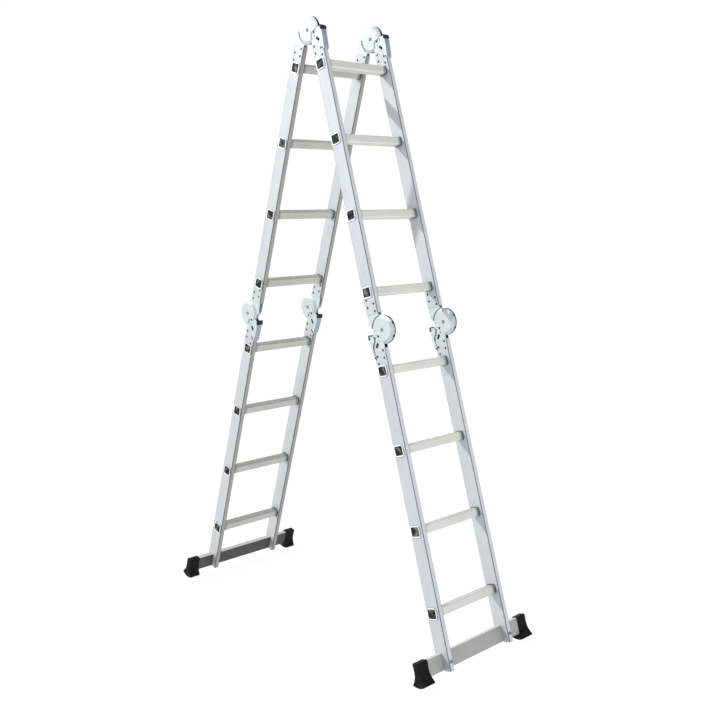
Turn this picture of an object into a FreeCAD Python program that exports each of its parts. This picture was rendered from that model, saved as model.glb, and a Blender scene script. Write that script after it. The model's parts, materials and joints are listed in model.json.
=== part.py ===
import FreeCAD, Part
import math
import os
import Sketcher

# Multi position ladder, millimetres.
#
# Row frame: +X along the rungs, +Y from the front leg to the back leg, +Z up. The origin lies on the
# floor in the middle of the four feet. Both legs stand open as a step ladder.
#
# Leg frame (x, t, s): x across the ladder, t out from the inside of the step ladder, s down the leg
# from the top hinge's axis. The back leg's frame is the front leg's, turned half a turn about +Z.
#
# Hinge frame (x, d, w): x across the stile from its middle, d from the hinge's axis towards the side
# of the release lever, w from the axis along the arm. Every hinge part is drawn in this frame.

Vector = FreeCAD.Vector
Placement = FreeCAD.Placement
Rotation = FreeCAD.Rotation

DIMENSIONS = [
    # the whole ladder
    ("half_opening", 16.1, "lean of each leg from upright, degrees"),
    ("rung_pitch", 280.0, "rung to rung"),
    ("hinge_spacing", 1120.0, "hinge axis to hinge axis along a leg"),
    ("first_rung", 140.0, "hinge axis to the nearest rung"),
    ("ladder_width", 344.0, "outside of stile to outside of stile"),
    ("hinge_offset", 4.5, "hinge axis to the stile's nearest face"),
    # stiles
    ("stile_depth", 58.0, "wide face"),
    ("stile_thick", 21.0, "narrow face"),
    ("stile_wall", 1.5, "tube wall"),
    ("stile_corner", 3.5, "outside corner radius"),
    ("stile_inside_corner", 0.6, "inside corner radius"),
    ("stile_start", 62.0, "hinge axis to the sawn end of a stile"),
    ("stile_foot", 2292.0, "top hinge axis to the lower end of a stile"),
    ("drain_hole", 1.6, "radius of the small hole above the stabiliser bar"),
    ("drain_up", 92.0, "that hole above the stile's lower end"),
    ("drain_in", 4.5, "that hole from the stile's outer narrow face"),
    # rungs
    ("rung_depth", 33.0, "along t"),
    ("rung_height", 30.0, "along s"),
    ("rung_corner", 5.0, "outside corner radius"),
    ("rung_wall", 1.7, "tube wall"),
    ("rung_centre", 30.5, "middle of a rung along t"),
    ("rib_width", 2.4, "tread rib"),
    ("rib_height", 0.9, "tread rib above the rung's flat"),
    ("rib_pitch", 4.8, "tread rib to tread rib"),
    ("collar_margin", 5.0, "swaged collar beyond the rung on each side"),
    ("collar_thick", 2.4, "swaged collar, outside the stile"),
    ("bead_margin", 2.6, "swaged bead beyond the rung, inside the ladder"),
    ("bead_thick", 1.6, "swaged bead, inside the ladder"),
    ("plug_length", 14.0, "end plug in the rung"),
    ("plug_wall", 1.6, "end plug's walls and face"),
    ("plug_recess", 0.4, "end plug's face behind the collar's face"),
    ("plug_flange", 1.5, "end plug's flange beyond the rung on each side"),
    ("plug_flange_thick", 1.0, "end plug's flange, seated in the collar"),
    ("close_fit", 0.05, "gap round a piece fixed in a hole"),
    # hinges
    ("disc_radius", 50.0, "hinge cover's rim"),
    ("disc_flat", 40.0, "hinge cover's flat"),
    ("cover_half", 12.5, "stile's middle to the cover's flat face"),
    ("rim_half", 5.2, "stile's middle to the cover's rim"),
    ("plate", 2.2, "sheet steel of the hinge arms"),
    ("tang_half", 9.0, "stile's middle to a tang's outer face"),
    ("tang_gap", 0.7, "tang to the stile's inside, along d"),
    ("tang_end", 125.0, "hinge axis to the end of a tang"),
    ("tang_bevel", 6.0, "bevel on a tang's corners"),
    ("drum_radius", 48.2, "notched disc"),
    ("drum_half", 4.2, "half the notched disc's thickness"),
    ("drum_cavity", 40.0, "hollow between the notched disc's two cheeks, radius"),
    ("drum_cheek", 2.4, "one cheek of the notched disc"),
    ("drum_shoulder", 52.5, "inside radius of the notch arm's shoulder"),
    ("shoulder_thick", 3.0, "notch arm's shoulder"),
    ("pin_radius", 6.0, "hinge pin"),
    ("pin_running", 0.06, "gap between the hinge pin and the notched disc"),
    ("pin_head", 6.9, "hinge pin head, radius"),
    ("pin_head_thick", 1.6, "hinge pin head"),
    ("pin_dish", 3.8, "dish in the hinge pin head, radius"),
    ("pin_dish_deep", 1.1, "dish in the hinge pin head"),
    ("rivet_radius", 3.0, "arm rivet"),
    ("rivet_head", 4.4, "arm rivet head, radius"),
    ("rivet_head_thick", 1.1, "arm rivet head"),
    # locks
    ("lock_angle", 39.0, "lock bar's direction from w towards d, degrees"),
    ("lock_rest", 49.0, "hinge axis to the lock bar's nose"),
    ("lock_cross_start", 59.5, "hinge axis to the near side of the lock's cross bar"),
    ("lock_cross_end", 65.0, "hinge axis to the far side of the lock's cross bar"),
    ("lock_wide", 8.6, "lock bar across its travel"),
    ("lock_half", 10.0, "half the cross bar's length across the stile"),
    ("lock_stem_long", 9.0, "lock bar's pull stem beyond its cross bar"),
    ("lock_stem_wide", 6.0, "lock bar's pull stem"),
    ("lock_stem_thick", 5.0, "lock bar's pull stem across the stile"),
    ("slot_start", 54.1, "hinge axis to the slot's near end"),
    ("slot_end", 74.2, "hinge axis to the slot's far end"),
    ("lock_side_gap", 0.4, "lock bar to the side of a slot or a notch"),
    ("notch_floor", 43.8, "hinge axis to a notch's floor"),
    ("closed_angle", 1.0, "angle between two arms folded together, degrees"),
    ("half_way_angle", 90.0, "middle working position, degrees"),
    ("wide_angle", 139.0, "wide working position, degrees"),
    ("straight_angle", 180.0, "arms in line, degrees"),
    # release levers
    ("lever_half", 12.6, "half the lever's width"),
    ("lever_sheet", 1.5, "lever's sheet"),
    ("pivot_d", 57.6, "lever pivot from the hinge axis, along d"),
    ("pivot_w", 90.0, "lever pivot from the hinge axis, along w"),
    ("pivot_radius", 2.0, "lever pivot pin"),
    ("pivot_head", 3.6, "lever pivot pin head, radius"),
    ("pivot_head_thick", 1.2, "lever pivot pin head"),
    ("pivot_running", 0.06, "gap between the lever and its pivot pin"),
    ("cap_half", 13.8, "half the lever cap's width"),
    ("spring_coil", 2.8, "lever spring, mean radius"),
    ("spring_wire", 0.45, "lever spring wire, radius"),
    ("spring_pitch", 1.3, "lever spring, turn to turn"),
    ("spring_turns", 5.0, "lever spring turns"),
    # stabiliser bars
    ("bar_length", 584.0, "stabiliser bar"),
    ("bar_depth", 20.0, "stabiliser bar along t"),
    ("bar_height", 57.0, "stabiliser bar along s"),
    ("bar_wall", 1.6, "stabiliser bar wall"),
    ("bar_corner", 1.6, "stabiliser bar corner radius"),
    ("bar_top", 2231.5, "top hinge axis to the front bar's upper face"),
    ("front_bar_t", 25.5, "middle of the front bar along t"),
    ("back_bar_t", 38.5, "middle of the back bar along t"),
    ("slot_gap", 0.15, "bar to the slot in the stile"),
    ("bolt_radius", 4.0, "bar bolt"),
    ("bolt_head", 6.6, "bar bolt head, radius"),
    ("bolt_head_thick", 3.6, "bar bolt head"),
    ("bolt_down", 30.0, "bar's upper face to the bolt"),
    ("bolt_reach", 10.0, "bolt's end beyond the bar's face"),
    ("bolt_socket", 5.0, "hexagon socket in the bolt's head, across its flats"),
    ("nut_across", 13.0, "nut across its flats"),
    ("nut_thick", 6.5, "nut"),
    # boots
    ("boot_length", 50.0, "along x"),
    ("boot_wall", 2.5, "rubber round the bar"),
    ("boot_end_wall", 3.0, "rubber over the bar's end"),
    ("boot_waist", 45.0, "bar's upper face to where the boot widens"),
    ("boot_tip", 71.5, "bar's upper face to the corners of the sole"),
    ("sole_half", 30.5, "half the sole's width"),
    ("sole_radius", 54.0, "round of the sole"),
    ("sole_flat_deep", 0.8, "how far the sole's flat is cut into its round"),
]

# Outlines in the hinge frame, as (d, w).
COVER_STEP = [(8, 60), (10.5, 30), (14, 20), (22, 14.5), (70, 8), (70, 60)]
COVER_STEP_INSIDE = [(5.8, 60), (8.3, 29.5), (12, 18.5), (21, 12.3), (70, 5.8), (70, 60)]
COVER_NECK = [("high", 26), (56, 14), (48, 9.5), (14, 13), ("low", 28)]
NOTCH_ARM_NECK = [("high", 26), (54, 12), (30, 12), ("low", 30)]
LEVER_EARS = [(58, 97), (52.8, 93), (52.8, 86), (58.5, 76), (59.6, 54), (56, 45), (50, 38), (45.5, 27),
              (46.5, 19), (52, 14)]
LEVER_BACK = [(64.5, 12), (68.5, 14.5), (70, 20), (70, 46), (65.6, 92), (63.5, 96)]
LEVER_CAP = [(66, 8), (69.5, 9), (71.6, 13), (72.2, 18), (72.2, 25), (66, 25)]
RIVET_PLACES = [(16.5, 70.0), (48.5, 87.0), (16.5, 96.0), (48.5, 113.0)]   # (d, w)
TOOLING_HOLES = [(27.5, 19.5, 4.4), (43.0, 22.5, 2.6), (27.0, 34.5, 2.6), (34.0, -2.0, 1.8)]  # d, w, radius

LEGS = ("front", "back")
SIDES = {"left": -1, "right": 1}                      # sign of X in the row frame
SECTIONS = ("upper_front", "upper_back", "lower_front", "lower_back")
RUNGS_PER_SECTION = 4
RIBS_PER_FACE = 5
HINGES = {                                            # hinge: (covers' section, notch arms' section)
    "top": ("upper_front", "upper_back"),
    "front": ("lower_front", "upper_front"),
    "back": ("lower_back", "upper_back"),
}

COVER_SECTIONS = [sections[0] for sections in HINGES.values()]

doc = FreeCAD.newDocument("multi_position_ladder")
sheet = doc.addObject("Spreadsheet::Sheet", "Dims")
nodes = []


def fill_sheet():
    for row, (alias, value, meaning) in enumerate(DIMENSIONS, start=1):
        sheet.set("A%d" % row, meaning)
        sheet.set("B%d" % row, str(value))
        sheet.setAlias("B%d" % row, alias)
    doc.recompute()


def dim(alias):
    return float(sheet.get(alias))


def bind(obj, **expressions):
    """Bind properties to expressions; a double underscore in a name stands for a dot."""
    for name, expression in expressions.items():
        obj.setExpression(name.replace("__", "."), expression)
    return obj


def number(obj, expression):
    value = obj.evalExpression(expression)
    return float(getattr(value, "Value", value))


# ---------------------------------------------------------------- frames

def bar_top(leg):
    """Expression for s at the bar's upper face. The back bar sits further out along t, so it is
    lowered until both soles reach the floor."""
    if leg == "front":
        return "Dims.bar_top"
    return "(Dims.bar_top + (Dims.back_bar_t - Dims.front_bar_t) * tan(Dims.half_opening * 1 deg))"


def sole_centre():
    """Expression for the centre of the sole's round, below the bar's upper face."""
    return "(Dims.boot_tip - sqrt(Dims.sole_radius ^ 2 - Dims.sole_half ^ 2))"


def leg_frame(leg):
    """The hinge axis is set back from Y = 0 so that the four soles lie evenly about the origin."""
    lean = math.radians(dim("half_opening"))
    sole = dim("bar_top") + number(sheet, sole_centre())
    height = sole * math.cos(lean) - dim("front_bar_t") * math.sin(lean) + dim("sole_radius")
    set_back = (dim("back_bar_t") - dim("front_bar_t")) / 2 / math.cos(lean)
    turn = Rotation(Vector(1, 0, 0), 180 - dim("half_opening"))
    if leg == "back":
        turn = Rotation(Vector(0, 0, 1), 180).multiply(turn)
    return Placement(Vector(0, -set_back, height - dim("sole_flat_deep")), turn)


def stile_x(leg, side):
    """Middle of a stile in its leg's frame; the back leg's frame is turned, so its sign changes."""
    across = SIDES[side] * (dim("ladder_width") - dim("stile_thick")) / 2
    return across if leg == "front" else -across


def hinge_frame(hinge, side, arm):
    """Frame of a hinge arm, which is "cover" or "notch"."""
    section = HINGES[hinge][0 if arm == "cover" else 1]
    leg = section.split("_")[1]
    across = stile_x(leg, side)
    if hinge == "top":
        return leg_frame(leg).multiply(Placement(Vector(across, 0, 0), Rotation()))
    middle_axis = Vector(across, 2 * dim("hinge_offset") + dim("stile_depth"), dim("hinge_spacing"))
    turn_about = Vector(0, 0, 1) if arm == "cover" else Vector(1, 0, 0)
    return leg_frame(leg).multiply(Placement(middle_axis, Rotation(turn_about, 180)))


# ---------------------------------------------------------------- building blocks

def node(obj, label, placement):
    """Make an object a sub-part: its label names its file."""
    obj.Label = label
    obj.Placement = placement
    nodes.append(obj)
    return obj


def copies(label, placed_blanks):
    """A node of linked copies, from pairs of a blank and the placement of its copy."""
    links = []
    for i, (blank, placement) in enumerate(placed_blanks):
        link = doc.addObject("App::Link", "%s_%d" % (label, i))
        link.LinkedObject = blank
        link.LinkTransform = True
        link.Placement = placement
        links.append(link)
    group = doc.addObject("Part::Compound", label)
    group.Links = links
    return node(group, label, Placement())


def along_x(obj, start, d="0", w="0"):
    """Lay a cylinder or a cone along +X, from x = start."""
    obj.Placement = Placement(Vector(), Rotation(Vector(0, 1, 0), 90))
    return bind(obj, Placement__Base__x=start, Placement__Base__y=d, Placement__Base__z=w)


def cylinder(name, radius, length, start, d="0", w="0"):
    obj = bind(doc.addObject("Part::Cylinder", name), Radius=radius, Height=length)
    return along_x(obj, start, d, w)


def cone(name, low_radius, high_radius, length, start):
    obj = bind(doc.addObject("Part::Cone", name), Radius1=low_radius, Radius2=high_radius, Height=length)
    return along_x(obj, start)


def fuse(name, shapes):
    obj = doc.addObject("Part::MultiFuse", name)
    obj.Shapes = shapes
    return obj


def cut(name, base, tool):
    obj = doc.addObject("Part::Cut", name)
    obj.Base = base
    obj.Tool = tool
    return obj


def common(name, shapes):
    obj = doc.addObject("Part::MultiCommon", name)
    obj.Shapes = shapes
    return obj


def prism(name, points, thick, start):
    """A polygon of (d, w) expressions or numbers, as a slab from x = start."""
    sketch = doc.addObject("Sketcher::SketchObject", name + "_outline")
    sketch.Placement = Placement(Vector(), Rotation(Vector(1, 1, 1), 120))
    add_outline(sketch, points)
    slab = doc.addObject("Part::Extrusion", name)
    slab.Base = sketch
    slab.DirMode = "Custom"
    slab.Dir = Vector(1, 0, 0)
    slab.Solid = True
    bind(slab, LengthFwd=thick, Placement__Base__x=start)
    return slab


def hold(sketch, kind, places, expression):
    """Add a dimension that an expression drives."""
    sketch.addConstraint(Sketcher.Constraint(kind, *places, number(sketch, expression)))
    name = "%s_%d" % (kind, sketch.ConstraintCount)
    sketch.renameConstraint(sketch.ConstraintCount - 1, name)
    sketch.setExpression("Constraints." + name, expression)


def add_outline(sketch, points):
    """A closed outline of points (x, y). A point (x, y, radius) starts an arc of that radius, which
    bulges to the right of the way to the next point; the other edges are straight."""
    points = [tuple(str(value) for value in point) for point in points]
    places = [Vector(number(sketch, point[0]), number(sketch, point[1]), 0) for point in points]
    first = sketch.GeometryCount
    starts = []                                       # which end of each edge is its start
    for i, point in enumerate(points):
        start, end = places[i], places[(i + 1) % len(points)]
        if len(point) == 2:
            sketch.addGeometry(Part.LineSegment(start, end))
            starts.append(1)
            continue
        radius = number(sketch, point[2])
        chord = end - start
        right = Vector(chord.y, -chord.x, 0).normalize()
        rise = radius - math.sqrt(radius ** 2 - (chord.Length / 2) ** 2)
        edge = sketch.addGeometry(Part.Arc(start, (start + end) * 0.5 + right * rise, end))
        starts.append(1 if (sketch.getPoint(edge, 1) - start).Length < 1e-6 else 2)
        hold(sketch, "Radius", (edge,), point[2])
    for i, point in enumerate(points):
        after = (i + 1) % len(points)
        sketch.addConstraint(Sketcher.Constraint(
            "Coincident", first + i, 3 - starts[i], first + after, starts[after]))
        hold(sketch, "DistanceX", (-1, 1, first + i, starts[i]), point[0])
        hold(sketch, "DistanceY", (-1, 1, first + i, starts[i]), point[1])


def rectangle(x0, y0, x1, y1, corner=None):
    """Points of a rectangle, each an expression, with round corners where corner is given."""
    if corner is None:
        return [(x0, y0), (x1, y0), (x1, y1), (x0, y1)]
    low_x, high_x = "(%s) + %s" % (x0, corner), "(%s) - %s" % (x1, corner)
    low_y, high_y = "(%s) + %s" % (y0, corner), "(%s) - %s" % (y1, corner)
    return [
        (low_x, y0), (high_x, y0, corner), (x1, low_y), (x1, high_y, corner),
        (high_x, y1), (low_x, y1, corner), (x0, high_y), (x0, low_y, corner),
    ]


def centred(width, height, corner=None, x="0", y="0"):
    return rectangle(
        "%s - (%s) / 2" % (x, width), "%s - (%s) / 2" % (y, height),
        "%s + (%s) / 2" % (x, width), "%s + (%s) / 2" % (y, height), corner)


def origin_feature(body, role):
    return next(feature for feature in body.Origin.OriginFeatures if feature.Role == role)


def body_sketch(body, name, role):
    sketch = body.newObject("Sketcher::SketchObject", name)
    sketch.AttachmentSupport = [(origin_feature(body, role), "")]
    sketch.MapMode = "FlatFace"
    return sketch


def add_circle(sketch, x, y, radius):
    centre = Vector(number(sketch, x), number(sketch, y), 0)
    edge = sketch.addGeometry(Part.Circle(centre, Vector(0, 0, 1), number(sketch, radius)))
    hold(sketch, "Radius", (edge,), radius)
    hold(sketch, "DistanceX", (-1, 1, edge, 3), x)
    hold(sketch, "DistanceY", (-1, 1, edge, 3), y)


def pad(body, name, sketch, length, both_ways=False):
    feature = body.newObject("PartDesign::Pad", name)
    feature.Profile = sketch
    feature.Midplane = both_ways
    return bind(feature, Length=length)


def pocket(body, name, sketch, length, both_ways=True):
    """A pocket that must take something away."""
    doc.recompute()
    before = body.Shape.Volume
    feature = body.newObject("PartDesign::Pocket", name)
    feature.Profile = sketch
    feature.Midplane = both_ways
    bind(feature, Length=length)
    doc.recompute()
    if body.Shape.Volume >= before - 1e-6:
        raise RuntimeError("%s in %s cuts nothing" % (name, body.Label))
    return feature


def offset_sketch(sketch, expression):
    return bind(sketch, AttachmentOffset__Base__z=expression)


# ---------------------------------------------------------------- stiles and rungs

def stile(section, side):
    """A tube with round corners, punched for four rungs and for the hinge arms' rivets.

    It is drawn with its upper end at z = 0 and z down the leg, y from its inside face.
    """
    level, leg = section.split("_")
    label = "%s_%s_stile" % (section, side)
    body = doc.addObject("PartDesign::Body", label)
    if level == "upper":
        start = "Dims.stile_start"
        length = "(Dims.hinge_spacing - 2 * Dims.stile_start)"
    else:
        start = "(Dims.hinge_spacing + Dims.stile_start)"
        length = "(Dims.stile_foot - Dims.hinge_spacing - Dims.stile_start)"

    outline = body_sketch(body, label + "_section", "XY_Plane")
    middle = "Dims.stile_depth / 2"
    add_outline(outline, centred("Dims.stile_thick", "Dims.stile_depth", "Dims.stile_corner", y=middle))
    add_outline(outline, centred(
        "(Dims.stile_thick - 2 * Dims.stile_wall)", "(Dims.stile_depth - 2 * Dims.stile_wall)",
        "Dims.stile_inside_corner", y=middle))
    pad(body, label + "_tube", outline, length)

    rung_hole = body_sketch(body, label + "_rung_hole", "YZ_Plane")
    add_outline(rung_hole, centred(
        "(Dims.rung_depth + 2 * Dims.close_fit)", "(Dims.rung_height + 2 * Dims.close_fit)",
        "Dims.rung_corner", x="(Dims.rung_centre - Dims.hinge_offset)",
        y="(Dims.first_rung - Dims.stile_start)"))
    punched = pocket(body, label + "_rung_pocket", rung_hole, "2 * Dims.stile_thick")
    pattern = body.newObject("PartDesign::LinearPattern", label + "_rung_pattern")
    pattern.Originals = [punched]
    pattern.Direction = (origin_feature(body, "Z_Axis"), [""])
    pattern.Occurrences = RUNGS_PER_SECTION
    bind(pattern, Length="%d * Dims.rung_pitch" % (RUNGS_PER_SECTION - 1))
    body.Tip = pattern
    doc.recompute()

    def across(d, hinge_below):
        """Place along y of a point at d in the frame of the hinge at one end of the stile."""
        if level == "upper" and not hinge_below:
            return "%s - Dims.hinge_offset" % d
        return "Dims.stile_depth + Dims.hinge_offset - %s" % d

    holes = body_sketch(body, label + "_rivet_holes", "YZ_Plane")
    radius = "Dims.rivet_radius + Dims.close_fit"
    for d, w in RIVET_PLACES:
        add_circle(holes, across(d, False), "%g - Dims.stile_start" % w, radius)
        if level == "upper":
            add_circle(holes, across(d, True), "%s - (%g - Dims.stile_start)" % (length, w), radius)
    if section in COVER_SECTIONS:
        add_circle(holes, across("Dims.pivot_d", False), "Dims.pivot_w - Dims.stile_start",
                   "Dims.pivot_radius + Dims.close_fit")
    if level == "lower":
        add_circle(holes, "Dims.stile_depth - Dims.drain_in", "%s - Dims.drain_up" % length,
                   "Dims.drain_hole")
    pocket(body, label + "_rivet_pocket", holes, "2 * Dims.stile_thick")

    if level == "lower":
        top = "(%s - %s)" % (bar_top(leg), start)
        half = "(Dims.bar_depth / 2 + Dims.slot_gap)"
        middle = "(Dims.%s_bar_t - Dims.hinge_offset)" % leg
        slot = body_sketch(body, label + "_bar_slot", "YZ_Plane")
        add_outline(slot, rectangle(
            "%s - %s" % (middle, half), "%s - Dims.slot_gap" % top,
            "%s + %s" % (middle, half), "%s + Dims.stile_depth" % length))
        pocket(body, label + "_bar_slot_pocket", slot, "2 * Dims.stile_thick")
        bolt = offset_sketch(body_sketch(body, label + "_bolt_hole", "XZ_Plane"), "-Dims.stile_depth")
        add_circle(bolt, "0", "%s + Dims.bolt_down" % top, "Dims.bolt_radius + Dims.close_fit")
        pocket(body, label + "_bolt_pocket", bolt, "4 * Dims.stile_wall")

    place = Placement(Vector(stile_x(leg, side), dim("hinge_offset"), number(sheet, start)), Rotation())
    return node(body, label, leg_frame(leg).multiply(place))


def plug_flange_outline(gap):
    """The end plug's flange, or with no gap the seat for it in the collar."""
    return centred("(Dims.rung_depth + 2 * (Dims.plug_flange - %s))" % gap,
                   "(Dims.rung_height + 2 * (Dims.plug_flange - %s))" % gap, "Dims.rung_corner")


def rung_blank():
    """One rung along x: a ribbed tube with a swaged collar and a bead at each stile."""
    body = doc.addObject("PartDesign::Body", "rung_blank")
    outline = body_sketch(body, "rung_section", "YZ_Plane")
    add_outline(outline, centred("Dims.rung_depth", "Dims.rung_height", "Dims.rung_corner"))
    add_outline(outline, centred(
        "(Dims.rung_depth - 2 * Dims.rung_wall)", "(Dims.rung_height - 2 * Dims.rung_wall)",
        "(Dims.rung_corner - Dims.rung_wall)"))
    pad(body, "rung_tube", outline, "Dims.ladder_width + 2 * Dims.collar_thick", both_ways=True)

    def ring(name, margin, thick, start):
        sketch = offset_sketch(body_sketch(body, name + "_section", "YZ_Plane"), start)
        add_outline(sketch, centred(
            "(Dims.rung_depth + 2 * %s)" % margin, "(Dims.rung_height + 2 * %s)" % margin,
            "(Dims.rung_corner + %s)" % margin))
        add_outline(sketch, centred(
            "(Dims.rung_depth - Dims.rung_wall)", "(Dims.rung_height - Dims.rung_wall)",
            "(Dims.rung_corner - Dims.rung_wall / 2)"))
        return pad(body, name, sketch, thick)

    collar = ring("rung_collar", "Dims.collar_margin", "Dims.collar_thick", "Dims.ladder_width / 2")
    bead = ring("rung_bead", "Dims.bead_margin", "Dims.bead_thick",
                "Dims.ladder_width / 2 - Dims.stile_thick - Dims.bead_thick")
    seat = offset_sketch(body_sketch(body, "rung_plug_seat", "YZ_Plane"),
                         "Dims.ladder_width / 2 + Dims.collar_thick")
    add_outline(seat, plug_flange_outline("0"))
    seated = pocket(body, "rung_plug_seat_pocket", seat, "Dims.plug_recess + Dims.plug_flange_thick",
                    both_ways=False)
    mirror = body.newObject("PartDesign::Mirrored", "rung_other_end")
    mirror.Originals = [collar, bead, seated]
    mirror.MirrorPlane = (origin_feature(body, "YZ_Plane"), [""])
    body.Tip = mirror
    doc.recompute()

    ribs = body_sketch(body, "rung_ribs", "YZ_Plane")
    half_count = RIBS_PER_FACE // 2
    for face in (-1, 1):
        for i in range(-half_count, half_count + 1):
            low, high = "Dims.rung_height / 2 - Dims.rung_wall / 2", "Dims.rung_height / 2 + Dims.rib_height"
            add_outline(ribs, rectangle(
                "%d * Dims.rib_pitch - Dims.rib_width / 2" % i, "%d * (%s)" % (face, low),
                "%d * Dims.rib_pitch + Dims.rib_width / 2" % i, "%d * (%s)" % (face, high)))
    pad(body, "rung_rib_pad", ribs, "Dims.ladder_width - 2 * (Dims.stile_thick + Dims.bead_thick)",
        both_ways=True)
    return body


def plug_blank():
    """One rung end plug with its closed, flanged face towards +x at x = 0 and a hollow back."""
    body = doc.addObject("PartDesign::Body", "rung_plug_blank")
    face = body_sketch(body, "rung_plug_section", "YZ_Plane")
    width = "(Dims.rung_depth - 2 * (Dims.rung_wall + Dims.close_fit))"
    height = "(Dims.rung_height - 2 * (Dims.rung_wall + Dims.close_fit))"
    corner = "(Dims.rung_corner - Dims.rung_wall)"
    add_outline(face, centred(width, height, corner))
    pad(body, "rung_plug_pad", face, "Dims.plug_length").Reversed = True
    flange = body_sketch(body, "rung_plug_flange", "YZ_Plane")
    add_outline(flange, plug_flange_outline("Dims.close_fit"))
    pad(body, "rung_plug_flange_pad", flange, "Dims.plug_flange_thick").Reversed = True
    back = offset_sketch(body_sketch(body, "rung_plug_back", "YZ_Plane"), "-Dims.plug_wall")
    add_outline(back, centred(
        "(%s - 2 * Dims.plug_wall)" % width, "(%s - 2 * Dims.plug_wall)" % height,
        "(%s - Dims.plug_wall)" % corner))
    pocket(body, "rung_plug_hollow", back, "Dims.plug_length", both_ways=False)
    return body


def rungs_and_plugs():
    rung, plug = rung_blank(), plug_blank()
    face = dim("ladder_width") / 2 + dim("collar_thick") - dim("plug_recess")
    ends = [Placement(Vector(face, 0, 0), Rotation()),
            Placement(Vector(-face, 0, 0), Rotation(Vector(0, 0, 1), 180))]
    for section in SECTIONS:
        level, leg = section.split("_")
        first = dim("first_rung") + (dim("hinge_spacing") if level == "lower" else 0.0)
        places = [leg_frame(leg).multiply(Placement(
            Vector(0, dim("rung_centre"), first + i * dim("rung_pitch")), Rotation()))
            for i in range(RUNGS_PER_SECTION)]
        copies(section + "_rungs", [(rung, place) for place in places])
        copies(section + "_rung_plugs", [(plug, place.multiply(end)) for place in places for end in ends])


# ---------------------------------------------------------------- hinges

def radial_box(name, start, end, width, half, angle):
    """A box along a ray from the hinge axis; angle is from w towards d."""
    bar = bind(doc.addObject("Part::Box", name), Length="2 * (%s)" % half, Width=width,
               Height="%s - (%s)" % (end, start))
    bar.Placement = Placement(Vector(), Rotation(Vector(1, 0, 0), -number(sheet, angle)))
    sine, cosine = "sin((%s) * 1 deg)" % angle, "cos((%s) * 1 deg)" % angle
    return bind(
        bar, Placement__Base__x="-(%s)" % half,
        Placement__Base__y="(%s) * %s - (%s) / 2 * %s" % (start, sine, width, cosine),
        Placement__Base__z="(%s) * %s + (%s) / 2 * %s" % (start, cosine, width, sine))


def arm_outline(neck):
    """A hinge arm's outline: its tang in the stile, then the neck's points from high d to low d."""
    low = "(Dims.hinge_offset + Dims.stile_wall + Dims.tang_gap)"
    high = "(Dims.hinge_offset + Dims.stile_depth - Dims.stile_wall - Dims.tang_gap)"
    bevel = "Dims.tang_bevel"
    tang = [(low, "Dims.tang_end - " + bevel), ("%s + %s" % (low, bevel), "Dims.tang_end"),
            ("%s - %s" % (high, bevel), "Dims.tang_end"), (high, "Dims.tang_end - " + bevel)]
    ends = {"high": high, "low": low}
    return tang + [(ends.get(d, d), w) for d, w in neck]


def rivet_holes(name, half):
    return [cylinder("%s_rivet_hole_%d" % (name, i), "Dims.rivet_radius + Dims.close_fit", "2 * (%s)" % half,
                     "-(%s)" % half, str(d), str(w)) for i, (d, w) in enumerate(RIVET_PLACES)]


def cover_blank():
    """Both cover plates of one hinge: a dished disc, a lower neck, and a tang for the stile."""
    slope = "(Dims.disc_radius - Dims.disc_flat) / (Dims.cover_half - Dims.rim_half)"
    raised = cone("cover_raised", "Dims.disc_radius", "Dims.disc_flat",
                  "Dims.cover_half - Dims.rim_half", "Dims.rim_half")
    hollow = cone("cover_hollow", "Dims.disc_radius - 1.2 * Dims.plate * %s" % slope,
                  "Dims.disc_flat - 0.2 * Dims.plate * %s" % slope,
                  "Dims.cover_half - Dims.rim_half - Dims.plate", "Dims.rim_half")
    step_outside = prism("cover_step_outside", COVER_STEP, "2 * Dims.cover_half", "0")
    step_inside = prism("cover_step_inside", COVER_STEP_INSIDE, "2 * Dims.cover_half", "0")
    shell = cut("cover_dish", cut("cover_raised_part", raised, step_outside),
                cut("cover_hollow_part", hollow, step_inside))
    neck = prism("cover_neck", arm_outline(COVER_NECK), "Dims.plate", "Dims.tang_half - Dims.plate")

    through = "4 * Dims.cover_half"
    start = "-2 * Dims.cover_half"
    tools = rivet_holes("cover", "2 * Dims.cover_half")
    tools.append(cylinder("cover_bore", "Dims.pin_radius + Dims.close_fit", through, start))
    tools.append(cylinder("cover_pivot_hole", "Dims.pivot_radius + Dims.close_fit", through, start,
                          "Dims.pivot_d", "Dims.pivot_w"))
    tools.append(radial_box("cover_slot", "Dims.slot_start", "Dims.slot_end",
                            "(Dims.lock_wide + 2 * Dims.lock_side_gap)", "2 * Dims.cover_half",
                            "Dims.lock_angle"))
    for i, (d, w, radius) in enumerate(TOOLING_HOLES):
        tools.append(cylinder("cover_hole_%d" % i, str(radius), through, start, str(d), str(w)))
    plate = cut("cover_plate", fuse("cover_plain", [shell, neck]), fuse("cover_tools", tools))
    other = doc.addObject("Part::Mirroring", "cover_other_plate")
    other.Source = plate
    other.Normal = Vector(1, 0, 0)
    pair = doc.addObject("Part::Compound", "cover_pair")
    pair.Links = [plate, other]
    return pair


def notch_angles():
    """Direction of the notch, from w towards d, for each angle at which the two arms lock."""
    locked = ("Dims.closed_angle", "2 * Dims.half_opening", "Dims.half_way_angle", "Dims.wide_angle",
              "Dims.straight_angle")
    return ["-(%s + Dims.lock_angle)" % angle for angle in locked]


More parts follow.
